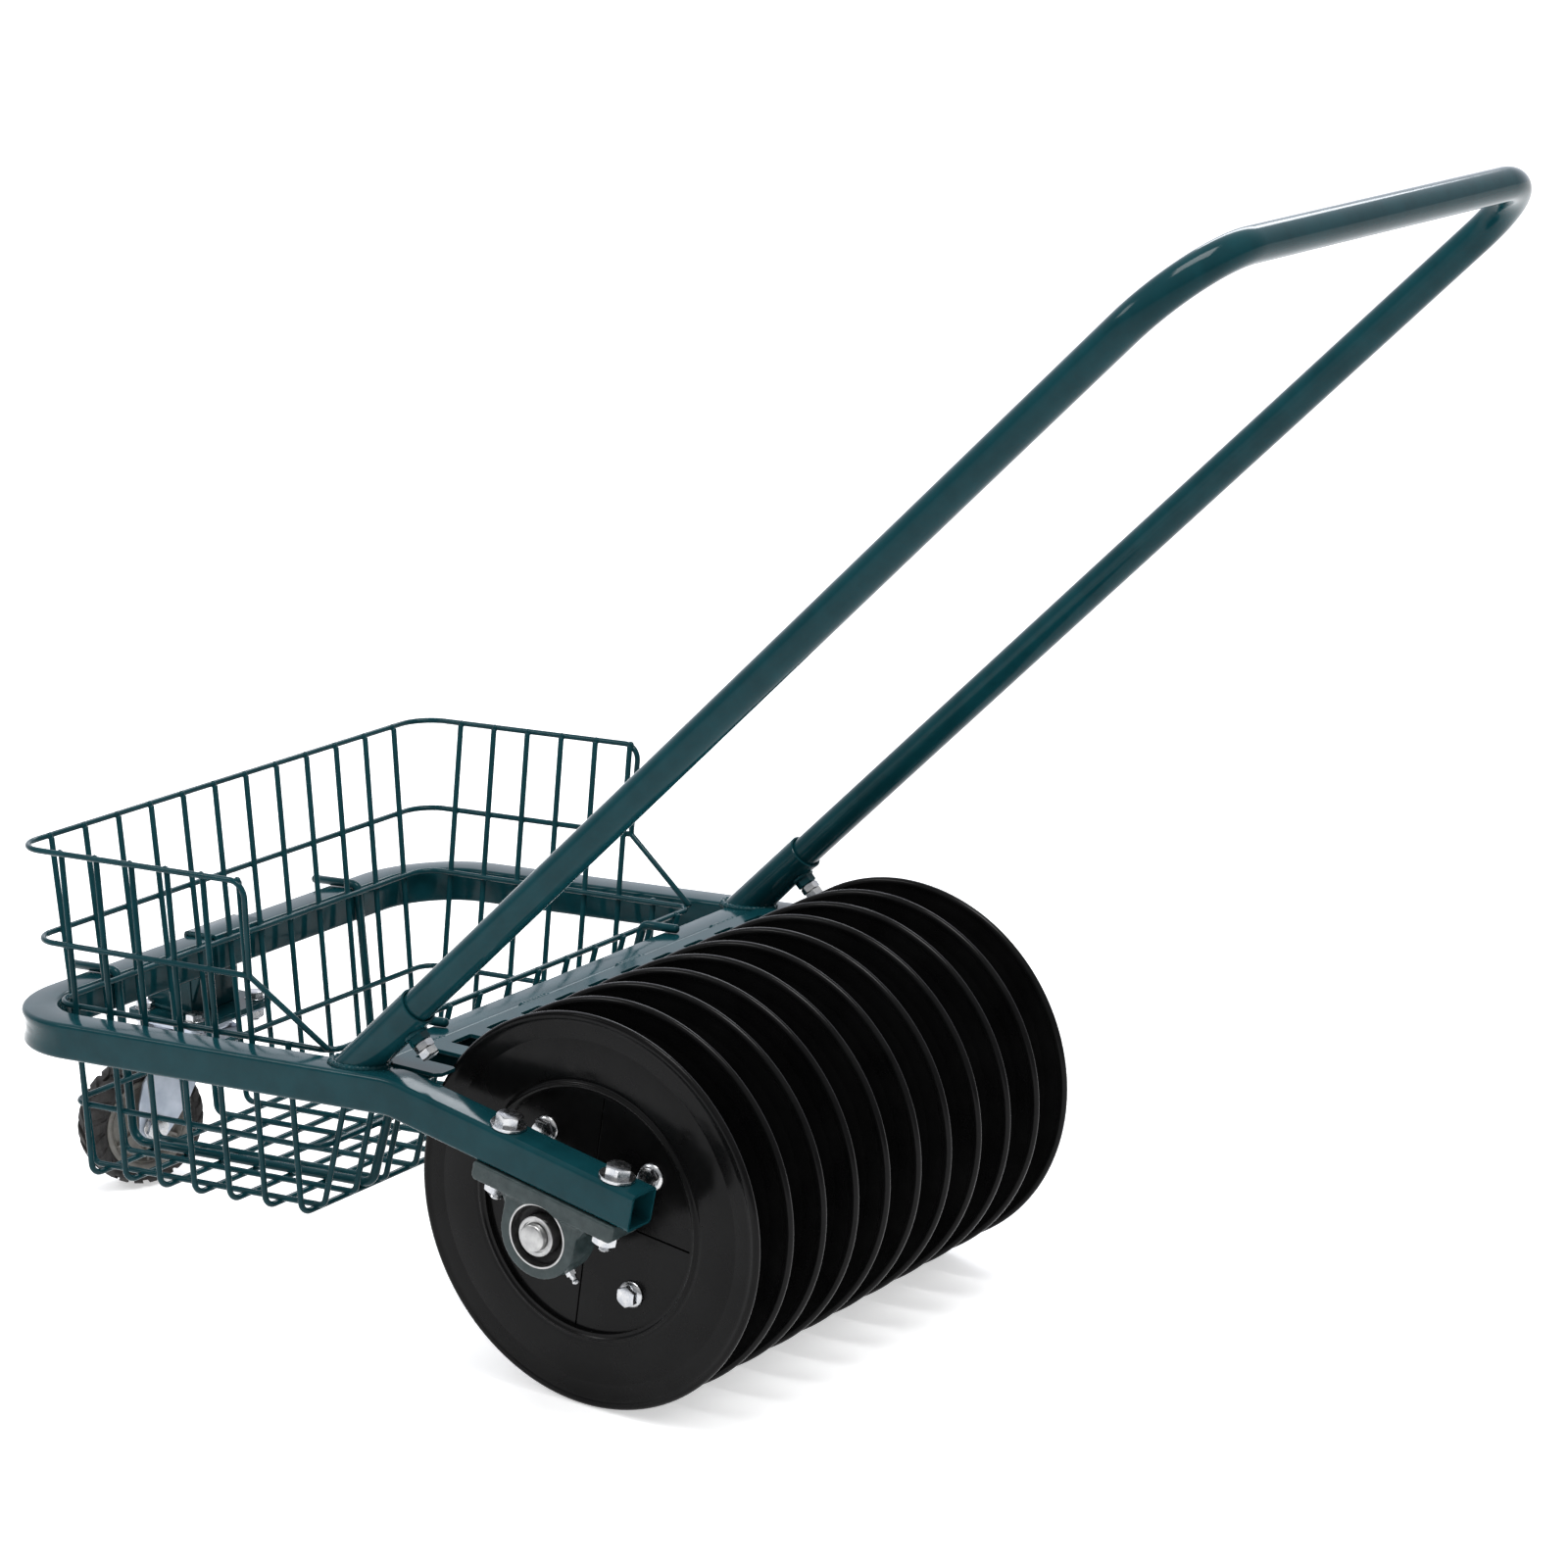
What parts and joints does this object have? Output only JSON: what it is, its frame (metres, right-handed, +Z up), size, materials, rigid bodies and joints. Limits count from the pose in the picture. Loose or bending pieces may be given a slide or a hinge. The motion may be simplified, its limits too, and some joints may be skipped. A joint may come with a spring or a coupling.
{
  "type": "push-along ball collector cart",
  "caption": "Push cart with a wide disc roller that picks up balls, a comb that strips them into a lift-off wire basket, a front swivel caster and a bent-tube handle.",
  "frame": {"origin": "centre of the bounding box on X and Y, on the ground at Z = 0", "axes": "+Z up, +Y rearwards towards the push handle, +X to the left of a user who pushes the cart towards -Y"},
  "size_m": [0.5508, 1.0734, 0.8869],
  "materials": {
    "teal_paint": "gloss powder coat",
    "black_plastic": "smooth gloss, moulded",
    "bright_zinc": "bright zinc plate",
    "cast_housing": "grey-green enamel over a cast surface",
    "bearing_steel": "ground steel with a dark seal",
    "caster_rubber": "matt moulded rubber",
    "rim_plastic": "smooth pale rim"
  },
  "bodies": {
    "frame": {"bearing_bolt_l_front": "bright_zinc", "bearing_bolt_l_rear": "bright_zinc", "bearing_bolt_r_front": "bright_zinc", "bearing_bolt_r_rear": "bright_zinc", "bearing_housing_l": "cast_housing", "bearing_housing_r": "cast_housing", "bearing_insert_l": "bearing_steel", "bearing_insert_r": "bearing_steel", "bearing_nut_l_front": "bright_zinc", "bearing_nut_l_rear": "bright_zinc", "bearing_nut_r_front": "bright_zinc", "bearing_nut_r_rear": "bright_zinc", "caster_bolt_1": "bright_zinc", "caster_bolt_2": "bright_zinc", "caster_bolt_3": "bright_zinc", "caster_bolt_4": "bright_zinc", "caster_bracket": "teal_paint", "caster_plate": "bright_zinc", "clamp_bolt_l": "bright_zinc", "clamp_bolt_r": "bright_zinc", "comb_plate": "teal_paint", "crossbar": "teal_paint", "frame_tube": "teal_paint", "handle": "teal_paint", "lock_nut_l": "bright_zinc", "lock_nut_r": "bright_zinc", "socket_l": "teal_paint", "socket_r": "teal_paint"},
    "roller": {"disc_01": "black_plastic", "disc_02": "black_plastic", "disc_03": "black_plastic", "disc_04": "black_plastic", "disc_05": "black_plastic", "disc_06": "black_plastic", "disc_07": "black_plastic", "disc_08": "black_plastic", "disc_09": "black_plastic", "disc_10": "black_plastic", "disc_11": "black_plastic", "roller_drum": "black_plastic", "roller_shaft": "bright_zinc", "tie_rod_1": "bright_zinc", "tie_rod_2": "bright_zinc", "tie_rod_3": "bright_zinc", "tie_rod_4": "bright_zinc", "bearing_collar_l": "bearing_steel", "bearing_collar_r": "bearing_steel"},
    "caster_swivel": {"caster_fork": "bright_zinc", "caster_axle_bolt": "bright_zinc", "caster_axle_nut": "bright_zinc"},
    "caster_wheel": {"caster_rim": "rim_plastic", "caster_tyre": "caster_rubber"},
    "basket": {"basket_front": "teal_paint", "basket_side_l": "teal_paint", "basket_side_r": "teal_paint", "basket_rear": "teal_paint", "basket_floor": "teal_paint", "hanger_rod_l": "teal_paint", "hanger_rod_r": "teal_paint"}
  },
  "joints": [
    {"name": "roller_spin", "type": "hinge", "parent": "frame", "child": "roller", "pos_m": [0, 0.05284, 0.146], "axis": [1, 0, 0], "continuous": true},
    {"name": "caster_turn", "type": "hinge", "parent": "frame", "child": "caster_swivel", "pos_m": [0, -0.48516, 0.122], "axis": [0, 0, 1], "range_deg": [-188, 48]},
    {"name": "caster_spin", "type": "hinge", "parent": "caster_swivel", "child": "caster_wheel", "pos_m": [0.05301, -0.50321, 0.0515], "axis": [0.3223, 0.9466, 0], "continuous": true},
    {"name": "basket_lift", "type": "slide", "parent": "frame", "child": "basket", "axis": [0, 0, 1], "range_m": [0, 0.25]}
  ]
}
